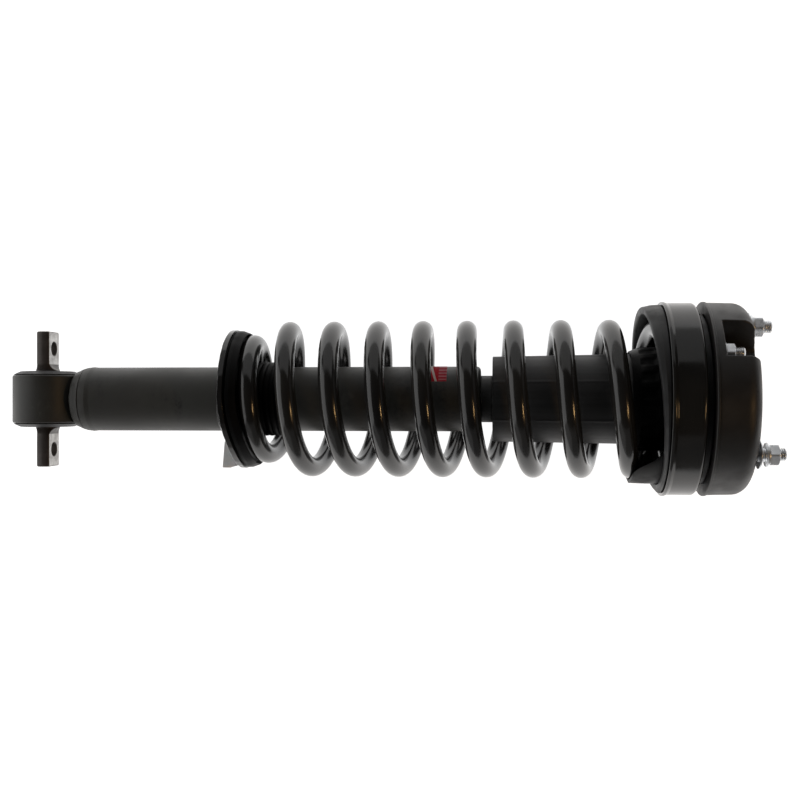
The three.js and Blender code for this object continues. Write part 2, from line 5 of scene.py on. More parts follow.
import bmesh
import bpy
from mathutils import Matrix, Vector


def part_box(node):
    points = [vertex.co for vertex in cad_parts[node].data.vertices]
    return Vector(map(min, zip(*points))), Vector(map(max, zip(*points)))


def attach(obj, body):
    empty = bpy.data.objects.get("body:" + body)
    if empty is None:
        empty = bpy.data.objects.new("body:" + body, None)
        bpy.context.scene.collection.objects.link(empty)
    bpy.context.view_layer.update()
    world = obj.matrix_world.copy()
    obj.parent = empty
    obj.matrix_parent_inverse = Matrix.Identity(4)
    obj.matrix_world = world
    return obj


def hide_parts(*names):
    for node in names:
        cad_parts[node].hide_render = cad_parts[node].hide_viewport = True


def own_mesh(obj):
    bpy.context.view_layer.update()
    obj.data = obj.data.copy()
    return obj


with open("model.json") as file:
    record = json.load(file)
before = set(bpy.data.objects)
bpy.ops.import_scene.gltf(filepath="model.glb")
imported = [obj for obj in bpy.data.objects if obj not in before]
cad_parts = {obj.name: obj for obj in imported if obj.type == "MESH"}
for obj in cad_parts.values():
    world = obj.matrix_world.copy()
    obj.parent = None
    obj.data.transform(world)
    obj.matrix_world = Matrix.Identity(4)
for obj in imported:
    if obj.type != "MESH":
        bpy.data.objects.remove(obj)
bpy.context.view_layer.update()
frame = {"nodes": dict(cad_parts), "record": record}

# Lengths in this script are millimetres until a mesh is made, and metres in the studio. Stations run
# along the strut (+X), and angles about its axis are measured from +Y towards +Z.
MM = 0.001
GAP = 0.3
SCENE = bpy.context.scene
BODY_OF = {node: body for body, nodes in frame["record"]["behaviour"]["bodies"].items() for node in nodes}
SLOT_OF = {part["node"]: part["material_slot"] for part in frame["record"]["subparts"]}


def stations(node):
    low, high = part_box(node)
    return low[0] / MM, high[0] / MM


def radius_of(node):
    low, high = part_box(node)
    return max(-low[1], high[1], -low[2], high[2]) / MM


# ------------------------------------------------------------------------------ sizes

PIN_X = sum(stations("bar_pin")) / 2
PIN_LENGTH = (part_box("bar_pin")[1][1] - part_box("bar_pin")[0][1]) / MM
PIN_RADIUS = 9.3
PAD_RADIUS = 11.3
PIN_FLAT = 5.2
PIN_FLAT_START = 29
PIN_HOLE_Y = 40.8
PIN_HOLE_RADIUS = 5.5
EYE_RADIUS = 27.4
EYE_WALL = 4
EYE_HALF = 19.3
BUSH_HALF = 22.4
TUBE_RADIUS = radius_of("reservoir_tube")
TUBE_WALL = 2
TUBE_BOTTOM, TUBE_TOP = stations("reservoir_tube")
EYE_WELD_RADIUS = 14.6
ROD_RADIUS = 10
ROD_SHOULDER = -48.5
SPIGOT = 7
SPIGOT_BORE = SPIGOT + GAP
WIRE_RADIUS = 7.7
COIL_RADIUS = 53.85
END_COIL_RADIUS = 43.4
SPRING_PITCH = 35.93
SPRING_ANGLES = (-100, 3528)
OPENING_ANGLES = (170, 370)
CLOSING_ANGLE = 350
CLOSED_SHARE = 0.15
BOW = 3.5
NEAR_LEAN = 4.9
FRONT_LEAN = 1
LOWER_REST = -393.5
UPPER_REST = -46.5
SEAT_TOP = -397.2
SEAT_RAMP = 7.5
SEAT_RADIUS = radius_of("lower_spring_seat")
HUB_RADIUS = radius_of("seat_hub")
SLEEVE_RADIUS = 29.2
DUST_BOTTOM, DUST_TOP = stations("dust_tube")
DUST_RADIUS = 33.35
DUST_TOP_RADIUS = radius_of("dust_tube")
CUP_LIP, CUP_TOP = stations("upper_spring_seat")
CUP_RADIUS = 74
CUP_PLATE = 3
CUP_WALL = 2.5
LOAD_RING_RADIUS = 65.5
ISOLATOR_LIP = -75.5
ISOLATOR_RADIUS = 69
LIP_TILT = (-0.08, 0.04)
TAIL_RADII = (61.9, 65.4)
TAIL_HALF_SPREAD = math.acos(42 / 65)
FLANGE_BOTTOM = stations("mount_housing")[0]
FLANGE_RADIUS = radius_of("mount_housing")
PLATE_TOP = FLANGE_BOTTOM + 2.3
MOUNT_BORE = 21
POCKET_FLOOR = -27.7
CROWN_CORNER = 11.5
CROWN_FALL = 2.5
SPOT_FACE = -3.6
SPOT_RADIUS = 11.2
BOLT_CIRCLE = 56.6
STUD_ANGLES = (16.3, 136.3, 256.3)
POCKET_ANGLES = (52, 232)
POCKET_HALF = 13
CLAMP_ANGLES = (53.5, 233.5)
STUD_RADIUS = 5
STUD_BORE = STUD_RADIUS + GAP
CLAMP_RADIUS = 4
NUT_TURNS = (13, 0, 25)
LABEL = (-244, -229.7)
LABEL_ARC = (math.radians(-60), math.radians(58))
TABLE_TILT = math.radians(5.5)
STRUT_MIDDLE = -0.28
CAMERA_AT = (-0.2675, -0.0008, 0.8777)
FLOOR_HALF = 6


# ------------------------------------------------------------------------------ shapes

def smoothstep(value, low, high):
    share = min(max((value - low) / (high - low), 0), 1)
    return share * share * (3 - 2 * share)


def soft_limit(value, limit, blend=0.9):
    """The smaller of two lengths, with a rounded change from one to the other."""
    share = max(blend - abs(value - limit), 0) / blend
    return min(value, limit) - share * share * blend / 4


def rounded(corners, closed=True, steps=4):
    """Corners of (station, radius, rounding), as points with each corner rounded off."""
    points = []
    for i, (x, r, rounding) in enumerate(corners):
        here = Vector((x, r))
        at_end = not closed and i in (0, len(corners) - 1)
        if not rounding or at_end:
            points.append((x, r))
            continue
        back = Vector(corners[i - 1][:2]) - here
        on = Vector(corners[(i + 1) % len(corners)][:2]) - here
        half = back.angle(on) / 2
        reach = min(rounding / math.tan(half), 0.48 * back.length, 0.48 * on.length)
        back.normalize()
        on.normalize()
        centre = here + (back + on).normalized() * (reach / math.cos(half))
        first, last = here + back * reach - centre, here + on * reach - centre
        sweep = math.pi - 2 * half
        for k in range(steps + 1):
            a, b = math.sin((1 - k / steps) * sweep), math.sin(k / steps * sweep)
            points.append(tuple(centre + (first * a + last * b) / math.sin(sweep)))
    return points


def turned(profile, closed=True, turns=120, shape=None):
    """A profile of (station, radius) turned round the X axis. shape bends (x, r, angle) to (x, r)."""
    verts, rows, faces = [], [], []
    for x, r in profile:
        count = turns if r > 1e-6 else 1
        rows.append([len(verts) + k for k in range(count)])
        for k in range(count):
            angle = 2 * math.pi * k / turns
            at, out = shape(x, r, angle) if shape else (x, r)
            verts.append((at, out * math.cos(angle), out * math.sin(angle)))
    following = rows[1:] + rows[:1] if closed else rows[1:]
    for a, b in zip(rows, following):
        for k in range(turns):
            n = (k + 1) % turns
            loop = [a[k % len(a)], a[n % len(a)], b[n % len(b)], b[k % len(b)]]
            loop = list(dict.fromkeys(loop))
            if len(loop) > 2:
                faces.append(loop)
    return verts, faces


def lathe(*corners, closed=True, turns=120, shape=None, steps=4):
    return turned(rounded(corners, closed, steps), closed, turns, shape)


def ring(x0, x1, inner, outer, soft_in, soft_out, turns=96):
    """A plain ring between two stations, its inner and outer edges rounded off."""
    return lathe((x0, inner, soft_in), (x0, outer, soft_out), (x1, outer, soft_out), (x1, inner, soft_in),
                 turns=turns)


def loft(count, sides, closed=False):
    """The faces over a row of loops of corners, with a lid at each end unless the row is closed."""
    faces = []
    for i in range(count if closed else count - 1):
        a, b = i * sides, (i + 1) % count * sides
        faces += [[a + k, a + (k + 1) % sides, b + (k + 1) % sides, b + k] for k in range(sides)]
    if not closed:
        faces += [list(range(sides)), list(range((count - 1) * sides, count * sides))]
    return faces


def prism(outline, x0, x1):
    """A closed outline in the YZ plane, extruded along X."""
    return [(x, y, z) for x in (x0, x1) for y, z in outline], loft(2, len(outline))


def swept(path, section, closed=False):
    """A section swept along a path. path holds (point, side) and section(i) gives (side, up) pairs."""
    verts = []
    count = len(path)
    for i, (point, side) in enumerate(path):
        after = path[(i + 1) % count if closed else min(i + 1, count - 1)][0]
        before = path[i - 1 if closed else max(i - 1, 0)][0]
        along = (after - before).normalized()
        side = (side - along * side.dot(along)).normalized()
        up = along.cross(side)
        verts += [tuple(point + side * a + up * b) for a, b in section(i)]
    return verts, loft(count, len(section(0)), closed)


def shell(rows, columns, point, walls):
    """Two layers of a grid, with or without walls round them. point(i, j, outer) gives each corner."""
    grid = [(i, j) for i in range(rows + 1) for j in range(columns + 1)]
    verts = [point(i, j, outer) for outer in (0, 1) for i, j in grid]

    def at(i, j, outer):
        return outer * len(grid) + i * (columns + 1) + j
    faces = [[at(i, j, outer), at(i, j + 1, outer), at(i + 1, j + 1, outer), at(i + 1, j, outer)]
             for i in range(rows) for j in range(columns) for outer in (0, 1)]
    if walls:
        faces += [[at(i, j, 0), at(i + 1, j, 0), at(i + 1, j, 1), at(i, j, 1)]
                  for i in range(rows) for j in (0, columns)]
        faces += [[at(i, j, 0), at(i, j + 1, 0), at(i, j + 1, 1), at(i, j, 1)]
                  for i in (0, rows) for j in range(columns)]
    return verts, faces


def circle(radius, sides):
    return [(radius * math.cos(2 * math.pi * k / sides), radius * math.sin(2 * math.pi * k / sides))
            for k in range(sides)]


def bead(path, radius, seed, ripple=2.4):
    """A weld bead: a closed rounded cord whose size ripples as the weld was laid."""
    rng = random.Random(seed)
    wobble = [rng.uniform(-0.08, 0.08) for _ in path]
    length = sum((path[i][0] - path[i - 1][0]).length for i in range(len(path)))
    waves = round(length / ripple)

    def section(i):
        phase = i / len(path) * waves % 1
        size = radius * (1 + 0.2 * (1 - phase) ** 2 + wobble[i])
        return circle(size, 10)
    return swept(path, section, closed=True)


def hoop(x, radius, steps=220):
    """A circular path round the strut's axis."""
    path = []
    for k in range(steps):
        angle = 2 * math.pi * k / steps
        out = Vector((0, math.cos(angle), math.sin(angle)))
        path.append((Vector((x, 0, 0)) + out * radius, out))
    return path


def joined(*shapes):
    verts, faces = [], []
    for more_verts, more_faces in shapes:
        faces += [[len(verts) + k for k in face] for face in more_faces]
        verts += more_verts
    return verts, faces


def moved(shape, change):
    return [change(*point) for point in shape[0]], shape[1]


def along_pin(shape):
    return moved(shape, lambda x, y, z: (PIN_X - y, x, z))


def off_axis(shape, angle):
    turn = math.radians(angle)
    dy, dz = BOLT_CIRCLE * math.cos(turn), BOLT_CIRCLE * math.sin(turn)
    return moved(shape, lambda x, y, z: (x, y + dy, z + dz))


# ------------------------------------------------------------------------------ pieces

def raw(name, shape, merge=False):
    """A mesh object of a shape, with its faces pointing out. merge joins corners at the same place."""
    mesh = bpy.data.meshes.new(name)
    mesh.from_pydata([Vector(point) * MM for point in shape[0]], [], shape[1])
    work = bmesh.new()
    work.from_mesh(mesh)
    if merge:
        bmesh.ops.remove_doubles(work, verts=work.verts, dist=1e-7)
    bmesh.ops.recalc_face_normals(work, faces=work.faces)
    work.to_mesh(mesh)
    work.free()
    made = bpy.data.objects.new(name, mesh)
    SCENE.collection.objects.link(made)
    return made


def bake(made):
    """Puts an object's modifiers into its mesh."""
    graph = bpy.context.evaluated_depsgraph_get()
    mesh = bpy.data.meshes.new_from_object(made.evaluated_get(graph))
    made.modifiers.clear()
    made.data = mesh


def carve(made, tools):
    """Cuts the tools' shapes out of an object."""
    cutters = [raw(f"{made.name}_tool_{i}", tool) for i, tool in enumerate(tools)]
    for cutter in cutters:
        change = made.modifiers.new("cut", "BOOLEAN")
        change.object = cutter
        change.solver = "EXACT"
    bake(made)
    for cutter in cutters:
        bpy.data.objects.remove(cutter)


def soften(made, voxel, rounds, factor=0.5):
    """Rebuilds a mesh evenly and smooths it, which rounds its edges as a casting's are."""
    change = made.modifiers.new("remesh", "REMESH")
    change.mode = "VOXEL"
    change.voxel_size = voxel * MM
    smooth = made.modifiers.new("smooth", "SMOOTH")
    smooth.iterations = rounds
    smooth.factor = factor
    bake(made)


def dress(made, looks, node, replaces=(), sharp=38):
    """Shades a piece, gives it its materials, and lets it ride with the body of a CAD node."""
    for face in made.data.polygons:
        face.use_smooth = True
    made.data.set_sharp_from_angle(angle=math.radians(sharp))
    made.data.materials.clear()
    for look in looks if isinstance(looks, (list, tuple)) else [looks]:
        made.data.materials.append(look)
    even = made.modifiers.new("even", "WEIGHTED_NORMAL")
    even.keep_sharp = True
    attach(made, BODY_OF[node])
    if replaces:
        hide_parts(*replaces)
    return made


def piece(name, shape, look, node, stands_in=True, sharp=38):
    return dress(raw(name, shape), look, node, (node,) if stands_in else (), sharp)


# ------------------------------------------------------------------------------ materials

class Look:
    """A material, built node by node on the object's own coordinates."""

    def __init__(self, name, metallic=0.0, specular=0.5):
        self.material = bpy.data.materials.new(name)
        self.material.use_nodes = True
        self.tree = self.material.node_tree
        self.shader = self.tree.nodes["Principled BSDF"]
        self.shader.inputs["Metallic"].default_value = metallic
        self.shader.inputs["Specular IOR Level"].default_value = specular
        self.coords = self.tree.nodes.new("ShaderNodeTexCoord").outputs["Object"]

    def put(self, socket, value):
        if isinstance(value, bpy.types.NodeSocket):
            self.tree.links.new(value, socket)
        else:
            socket.default_value = value

    def node(self, kind, inputs, **settings):
        made = self.tree.nodes.new(kind)
        for key, value in settings.items():
            setattr(made, key, value)
        for key, value in inputs.items():
            self.put(made.inputs[key], value)
        return made

    def noise(self, scale, detail=2.0, rough=0.5, stretch=None, offset=0.0):
        where = self.coords
        if stretch or offset:
            where = self.node("ShaderNodeMapping", {
                "Vector": where, "Scale": stretch or (1, 1, 1), "Location": (offset, offset, offset),
            }).outputs["Vector"]
        made = self.node("ShaderNodeTexNoise", {
            "Vector": where, "Scale": scale, "Detail": detail, "Roughness": rough,
        })
        return made.outputs["Fac"]

    def span(self, value, low, high, to_low, to_high):
        made = self.node("ShaderNodeMapRange", {
            "Value": value, "From Min": low, "From Max": high, "To Min": to_low, "To Max": to_high,
        }, interpolation_type="SMOOTHSTEP")
        return made.outputs["Result"]

    def math(self, operation, a, b):
        made = self.node("ShaderNodeMath", {0: a, 1: b}, operation=operation)
        return made.outputs[0]

    def mix(self, share, a, b):
        made = self.node("ShaderNodeMix", {}, data_type="RGBA")
        self.put(made.inputs["Factor"], share)
        for socket, value in (("A", a), ("B", b)):
            wanted = [s for s in made.inputs if s.name == socket and s.type == "RGBA"][0]
            self.put(wanted, (*value, 1) if isinstance(value, tuple) else value)
        return [s for s in made.outputs if s.type == "RGBA"][0]

    def bump(self, layers):
        """Relief of (height, depth in millimetres) layers, one over another."""
        normal = None
        for height, depth in layers:
            inputs = {"Height": height, "Distance": depth * MM, "Strength": 1.0}
            if normal:
                inputs["Normal"] = normal
            normal = self.node("ShaderNodeBump", inputs).outputs["Normal"]
        self.put(self.shader.inputs["Normal"], normal)

    def edges(self, low, high, inside=0.0, outside=1.0):
        """A value that runs from inside to outside as the surface turns over an outward edge."""
        point = self.node("ShaderNodeNewGeometry", {}).outputs["Pointiness"]
        return self.span(point, low, high, inside, outside)

    def done(self, colour, roughness):
        self.put(self.shader.inputs["Base Color"], colour)
        self.put(self.shader.inputs["Roughness"], roughness)
        return self.material


def powder_coat(name, rough, specular):
    look = Look(name, specular=specular)
    cloud = look.noise(16, 3)
    colour = look.mix(look.span(cloud, 0.35, 0.7, 0, 1), (0.0075, 0.0072, 0.0068), (0.014, 0.013, 0.0112))
    dust = look.span(look.noise(1500, 1, offset=3.1), 0.7, 0.8, 0.0, 0.5)
    dust = look.math("MULTIPLY", dust, look.span(look.noise(30, 2, offset=1.7), 0.45, 0.7, 0, 1))
    colour = look.mix(dust, colour, (0.07, 0.064, 0.055))
    rough = look.span(look.noise(55, 4, 0.6), 0.35, 0.7, *rough)
    rough = look.math("ADD", rough, look.math("MULTIPLY", dust, 0.3))
    look.bump([(look.noise(420, 2), 0.008), (look.noise(60, 2), 0.03)])
    return look.done(colour, rough)


def tube_paint():
    look = Look("satin_tube_paint")
    cloud = look.noise(11, 4, 0.6)
    colour = look.mix(look.span(cloud, 0.35, 0.7, 0, 1), (0.0228, 0.022, 0.0184), (0.034, 0.0328, 0.0277))
    rub = look.span(look.noise(34, 5, 0.65, (1, 0.5, 0.5), 2.3), 0.52, 0.64, 0, 1)
    speckle = look.span(look.noise(420, 4, 0.7, offset=7.0), 0.42, 0.6, 0.2, 1)
    rub = look.math("MULTIPLY", rub, speckle)
    colour = look.mix(look.math("MULTIPLY", rub, 0.8), colour, (0.009, 0.0085, 0.0075))
    chalk = look.span(look.noise(20, 5, 0.7, (1, 0.7, 0.7), 5.2), 0.6, 0.68, 0, 0.5)
    colour = look.mix(chalk, colour, (0.07, 0.068, 0.06))
    rough = look.span(look.noise(24, 4), 0.35, 0.7, 0.44, 0.56)
    rough = look.math("SUBTRACT", rough, look.math("MULTIPLY", rub, 0.08))
    look.bump([(look.noise(900, 3, 0.6), 0.022), (look.noise(160, 2), 0.03)])
    return look.done(colour, rough)


def cast_paint():
    look = Look("cast_paint")
    cloud = look.noise(20, 4, 0.6)
    colour = look.mix(look.span(cloud, 0.35, 0.7, 0, 1), (0.008, 0.0073, 0.0068), (0.015, 0.0135, 0.0122))
    worn = look.math("MULTIPLY", look.edges(0.53, 0.62), look.span(look.noise(160, 4), 0.4, 0.7, 0, 0.6))
    colour = look.mix(worn, colour, (0.06, 0.055, 0.05))
    rough = look.span(look.noise(70, 4), 0.35, 0.7, 0.42, 0.54)
    look.bump([(look.noise(300, 3, 0.6), 0.05), (look.noise(1100, 2), 0.012)])
    return look.done(colour, rough)


def rubber(name, tone, specular=0.35):
    look = Look(name, specular=specular)
    cloud = look.noise(26, 4, 0.6)
    dark = (0.006 * tone, 0.006 * tone, 0.0062 * tone)
    light = (0.012 * tone, 0.0119 * tone, 0.012 * tone)
    colour = look.mix(look.span(cloud, 0.4, 0.75, 0, 1), dark, light)
    bloom = look.span(look.noise(90, 5, 0.7, offset=4.0), 0.6, 0.8, 0, 0.3)
    colour = look.mix(bloom, colour, tuple(3.7 * c for c in light))
    rough = look.span(look.noise(60, 3), 0.35, 0.7, 0.42, 0.62)
    look.bump([(look.noise(700, 3, 0.6), 0.02), (look.noise(120, 2), 0.05)])
    return look.done(colour, rough)


def plastic():
    look = Look("drawn_plastic", specular=0.4)
    streak = look.noise(30, 4, 0.65, (0.12, 6, 6))
    colour = look.mix(look.span(streak, 0.35, 0.7, 0, 1), (0.034, 0.0337, 0.0337), (0.053, 0.0525, 0.0525))
    scuff = look.span(look.noise(240, 4, 0.7, (0.3, 1, 1), 1.1), 0.66, 0.8, 0, 0.4)
    colour = look.mix(scuff, colour, (0.05, 0.05, 0.05))
    rough = look.span(streak, 0.3, 0.7, 0.46, 0.6)
    rough = look.math("ADD", rough, look.math("MULTIPLY", scuff, 0.3))
    look.bump([(streak, 0.05), (look.noise(900, 2), 0.008)])
    return look.done(colour, rough)


def metal(name, dark, light, rough, grain=300, depth=0.01, stretch=None, hollow_shade=0.0, patches=70,
          metallic=1.0):
    look = Look(name, metallic)
    cloud = look.noise(patches, 4, 0.65)
    colour = look.mix(look.span(cloud, 0.35, 0.7, 0, 1), dark, light)
    # Painted shade: the colour darkens in hollows, where the surface curves inward, down to a quarter of
    # the dark tone.
    if hollow_shade:
        hollow_shade_mask = look.edges(0.4, 0.49, hollow_shade, 0.0)
        colour = look.mix(hollow_shade_mask, colour, tuple(0.25 * c for c in dark))
    fine = look.noise(grain, 4, 0.6, stretch, 0.7)
    roughness = look.span(fine, 0.3, 0.7, *rough)
    look.bump([(fine, depth), (look.noise(patches * 2.2, 2), depth * 1.5)])
    return look.done(colour, roughness)


def forged_dark():
    look = Look("dark_forged_steel", metallic=0.35)
    cloud = look.noise(60, 4, 0.6)
    colour = look.mix(look.span(cloud, 0.35, 0.7, 0, 1), (0.052, 0.044, 0.04), (0.085, 0.073, 0.066))
    worn = look.math("MULTIPLY", look.edges(0.52, 0.6), look.span(look.noise(220, 4), 0.4, 0.65, 0, 0.7))
    colour = look.mix(worn, colour, (0.14, 0.13, 0.12))
    look.bump([(look.noise(450, 3, 0.6), 0.03)])
    return look.done(colour, look.span(look.noise(130, 3), 0.35, 0.7, 0.34, 0.5))


def foam():
    look = Look("bumper_foam")
    cells = look.node("ShaderNodeTexVoronoi", {"Vector": look.coords, "Scale": 1400.0})
    pores = look.span(cells.outputs["Distance"], 0.1, 0.6, 0, 1)
    colour = look.mix(pores, (0.012, 0.012, 0.011), (0.04, 0.039, 0.036))
    look.bump([(pores, 0.12), (look.noise(200, 2), 0.2)])
    return look.done(colour, look.span(look.noise(90, 3), 0.3, 0.7, 0.8, 0.95))


def galvanised():
    look = Look("dull_galvanised")
    cells = look.node("ShaderNodeTexVoronoi", {"Vector": look.coords, "Scale": 260.0}).outputs["Color"]
    cloud = look.span(look.noise(70, 4, 0.6), 0.3, 0.7, 0, 1)
    colour = look.mix(cloud, (0.8, 0.8, 0.79), (0.93, 0.925, 0.91))
    colour = look.mix(0.06, colour, cells)
    look.bump([(look.noise(300, 3), 0.02)])
    return look.done(colour, look.span(look.noise(150, 3), 0.3, 0.7, 0.4, 0.6))


def sticker():
    """A plain two-tone label: a red field with a slanted pale stripe, and a pale end with fine bars."""
    look = Look("label_print", specular=0.06)
    parts = look.node("ShaderNodeSeparateXYZ", {"Vector": look.coords}).outputs
    start, end = LABEL[0] * MM, LABEL[1] * MM
    slant = look.math("ADD", parts["X"], look.math("MULTIPLY", parts["Y"], 0.35))
    middle = start + 0.3 * (end - start) + 0.0068
    low = look.span(slant, middle - 0.0012, middle - 0.0009, 0, 1)
    high = look.span(slant, middle + 0.0006, middle + 0.0009, 1, 0)
    stripe = look.math("MULTIPLY", low, high)
    worn = look.span(look.noise(700, 4, 0.7), 0.4, 0.7, 0, 0.5)
    red = look.mix(worn, (0.46, 0.008, 0.02), (0.3, 0.012, 0.022))
    colour = look.mix(stripe, red, (0.62, 0.54, 0.52))
    bars = look.node("ShaderNodeMath", {0: look.math("MULTIPLY", parts["Y"], 2600.0)}, operation="SINE")
    bars = look.span(bars.outputs[0], -0.2, 0.5, 0, 1)
    pale = look.mix(bars, (0.4, 0.03, 0.05), (0.52, 0.17, 0.19))
    at_end = look.span(parts["X"], start + 0.55 * (end - start), start + 0.58 * (end - start), 0, 1)
    colour = look.mix(at_end, colour, pale)
    look.bump([(look.noise(500, 2), 0.01)])
    return look.done(colour, look.span(look.noise(120, 3), 0.3, 0.7, 0.5, 0.62))


LOOKS = {
    "powder_coat": powder_coat("gloss_powder_coat", (0.13, 0.21), 0.5),
    "tube_paint": tube_paint(),
    "cast_paint": cast_paint(),
    "rubber": rubber("moulded_rubber", 1.0),
    "plastic": plastic(),
    # The zinc parts take painted shade in their hollows.
    "zinc": metal("zinc_plate", (0.74, 0.76, 0.78), (0.93, 0.95, 0.97), (0.26, 0.4), hollow_shade=0.5,
                  metallic=0.9),
    "machined_steel": metal("machined_steel", (0.3, 0.29, 0.28), (0.5, 0.49, 0.475), (0.34, 0.52),
                            420, 0.02, (1, 1, 1), patches=160),
    "chrome_rod": metal("hard_chrome", (0.66, 0.67, 0.68), (0.76, 0.77, 0.78), (0.05, 0.1),
                        500, 0.001, (8, 1, 1)),
    "bronze": metal("bronze_bush", (0.36, 0.22, 0.1), (0.5, 0.33, 0.15), (0.3, 0.42)),
    "foam": foam(),
}
ENAMEL = powder_coat("spring_enamel", (0.15, 0.21), 0.7)
# Painted shade: a copy of the rubber, five times darker and less shiny, for rubber that sits in shade.
SHADE_DARKENED_RUBBER = rubber("seat_rubber_painted_shade", 0.2, 0.1)
BUSH_RUBBER = rubber("bush_rubber", 3.2)
FORGED = forged_dark()
GALVANISED = galvanised()
STICKER = sticker()


# ------------------------------------------------------------------------------ lower eye and bar pin

def eye():
    steel = ring(-EYE_HALF, EYE_HALF, EYE_RADIUS - EYE_WALL, EYE_RADIUS, 0.6, 1.6, 144)
    piece("lower_eye", along_pin(steel), LOOKS["tube_paint"], "eye_ring")


def bush():
    """Rubber that fills the eye, folded over both of its ends, with a groove round the pin."""
    bore, outer = PIN_RADIUS + GAP, EYE_RADIUS - EYE_WALL - GAP
    half = [(BUSH_HALF - 1.6, bore, 0.3), (BUSH_HALF - 1.6, bore + 2.2, 0.6), (BUSH_HALF, bore + 4, 0.8),
            (BUSH_HALF, outer - 2, 1.4), (EYE_HALF + 0.5, outer + 3.6, 0.7),
            (EYE_HALF + 0.3, outer + 2.6, 0.3), (EYE_HALF + 0.2, outer, 0.3)]
    mirrored = [(-x, r, rounding) for x, r, rounding in reversed(half)]
    piece("lower_eye_bush", along_pin(lathe(*half, *mirrored, turns=128)), BUSH_RUBBER, "eye_bush")


def pin():
    """A round bar whose two ends are pressed wide and flat, and bored."""
    depth = PAD_RADIUS - PIN_FLAT
    end = PIN_LENGTH / 2
    half = [0, 8, 16, 20, 22, PIN_FLAT_START - depth]
    half += [PIN_FLAT_START - depth * math.cos(math.radians(a)) for a in range(10, 91, 8)]
    half += [33, 37, 41, 45, 49, end - 1.2, end - 0.7, end - 0.25, end]
    sides = 128

    def limit(y):
        run = PIN_FLAT_START - abs(y)
        if run <= 0:
            return PIN_FLAT
        return PIN_FLAT + depth - math.sqrt(max(depth * depth - run * run, 0)) if run < depth else 20

    verts = []
    ys = [-y for y in reversed(half[1:])] + half
    for y in ys:
        trim = {end: 0.9, end - 0.25: 0.4, end - 0.7: 0.1}.get(abs(y), 0)
        radius = PIN_RADIUS + (PAD_RADIUS - PIN_RADIUS) * smoothstep(abs(y), 22.5, 29.5) - trim
        for k in range(sides):
            angle = 2 * math.pi * k / sides
            x = math.cos(angle) * radius
            x = math.copysign(soft_limit(abs(x), limit(y) - trim), x)
            verts.append((PIN_X + x, y, math.sin(angle) * radius))
    made = raw("lower_bar_pin", (verts, loft(len(ys), sides)))
    hole = lathe((-PIN_FLAT - 8, 0, 0), (-PIN_FLAT - 8, PIN_HOLE_RADIUS + 8, 0),
                 (-PIN_FLAT + 0.6, PIN_HOLE_RADIUS, 0), (PIN_FLAT - 0.6, PIN_HOLE_RADIUS, 0),
                 (PIN_FLAT + 8, PIN_HOLE_RADIUS + 8, 0), (PIN_FLAT + 8, 0, 0), closed=False, turns=64)
    carve(made, [moved(hole, lambda x, y, z, s=s: (x + PIN_X, y + s * PIN_HOLE_Y, z)) for s in (-1, 1)])
    dress(made, [FORGED, LOOKS["machined_steel"]], "bar_pin", ("bar_pin",), 30)
    for face in made.data.polygons:
        out, middle = abs(face.normal.x), face.center / MM
        on_flat = abs(middle.x - PIN_X) < PIN_FLAT + 0.05 and abs(middle.y) > PIN_FLAT_START - 2.5
        face.material_index = int(out > 0.97 and on_flat)


# ------------------------------------------------------------------------------ damper

def reservoir():
    """The outer tube, swollen a little over its lower weld and rolled in at the top."""
    inner, mouth = TUBE_RADIUS - TUBE_WALL, 18.9
    tube = lathe((TUBE_BOTTOM, inner, 0.3), (TUBE_BOTTOM, TUBE_RADIUS - 0.3, 0.5),
                 (TUBE_BOTTOM + 3, TUBE_RADIUS + 0.1, 2), (TUBE_BOTTOM + 5.5, TUBE_RADIUS + 0.35, 2),
                 (TUBE_BOTTOM + 9, TUBE_RADIUS, 3), (TUBE_TOP, TUBE_RADIUS, 3.5),
                 (TUBE_TOP, mouth, 0.6), (TUBE_TOP - TUBE_WALL, mouth, 0.6),
                 (TUBE_TOP - TUBE_WALL, inner, 1.6), turns=160, steps=6)
    piece("damper_tube", tube, LOOKS["tube_paint"], "reservoir_tube")


def base():
    plug = TUBE_RADIUS - TUBE_WALL - GAP
    joint = TUBE_BOTTOM - 0.35
    cap = raw("damper_base", lathe(
        (-540, 0, 0), (-540, 13.5, 0), (-530.4, 14, 0.8), (-529.3, 22.2, 1.8), (-525.4, 23.4, 0.3),
        (-525.1, 23.9, 0.3), (joint - 0.4, 24.9, 0.5), (joint, 24.5, 0.1), (joint, plug, 0.2),
        (-514, plug, 1), (-512, 20, 1), (-512, 0, 0), closed=False, turns=144))
    carve(cap, [along_pin(lathe((-40, 0, 0), (-40, EYE_RADIUS + 0.25, 0), (40, EYE_RADIUS + 0.25, 0),
                                (40, 0, 0), closed=False, turns=192))])
    dress(cap, LOOKS["tube_paint"], "base_cap", ("base_cap",))
    path = []
    for k in range(160):
        angle = 2 * math.pi * k / 160
        y, z = EYE_WELD_RADIUS * math.cos(angle), EYE_WELD_RADIUS * math.sin(angle)
        at = Vector((PIN_X + math.sqrt((EYE_RADIUS + 0.5) ** 2 - z * z), y, z))
        path.append((at, Vector((0, math.cos(angle), math.sin(angle)))))
    piece("eye_weld", bead(path, 0.9, 11), LOOKS["tube_paint"], "base_cap", False, 60)


def striker():
    x0, x1 = stations("bump_cap")
    rings = []
    for x in (x1 - 8.5, x1 - 5.5):
        rings += [(x - 0.7, 18.3, 0.3), (x, 17.7, 0.3), (x + 0.7, 18.3, 0.3)]
    cap = lathe((x0, 15.3, 0.3), (x0, 18.3, 0.5), *rings, (x1, 18.3, 1.2), (x1, 10.9, 0.8),
                (x1 - 2.5, 10.9, 0.4), (x1 - 2.5, 15.3, 0.6), turns=120)
    piece("bump_striker", cap, LOOKS["plastic"], "bump_cap")


